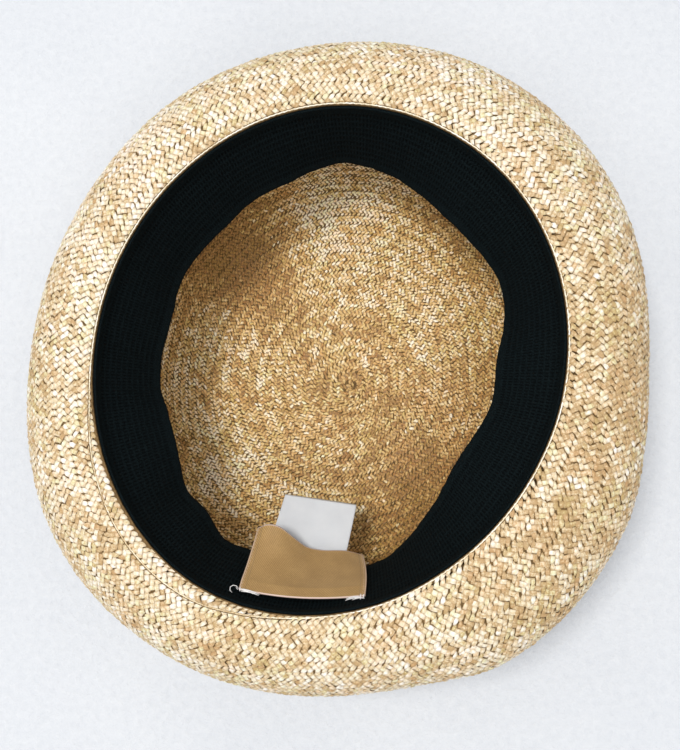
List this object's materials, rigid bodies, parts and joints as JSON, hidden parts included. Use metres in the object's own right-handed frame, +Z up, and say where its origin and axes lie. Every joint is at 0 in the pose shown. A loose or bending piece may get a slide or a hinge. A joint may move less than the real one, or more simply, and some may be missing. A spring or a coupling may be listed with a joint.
{
  "type": "straw hat",
  "caption": "Braided straw hat with a deep round crown and a narrow brim rolled back all round, a knitted sweatband inside, and a bare woven label and care tag at the back.",
  "frame": {"origin": "on the surface that the tip of the crown rests on, under the middle of the brim's outline", "axes": "+Z up out of the head opening, +Y towards the front of the hat, the label at the back on the -Y side"},
  "size_m": [0.2518, 0.2648, 0.1],
  "materials": {
    "crown_straw": "braided natural straw, satin",
    "brim_straw": "braided natural straw, satin",
    "knitted_tape": "black mesh-knit tape, matte",
    "label_weave": "fine satin weave with pale stitched edges, bare",
    "tag_ribbon": "smooth white ribbon, bare"
  },
  "bodies": {
    "root": {"crown": "crown_straw", "brim": "brim_straw", "sweatband": "knitted_tape", "woven_label": "label_weave", "care_tag": "tag_ribbon"}
  },
  "joints": []
}
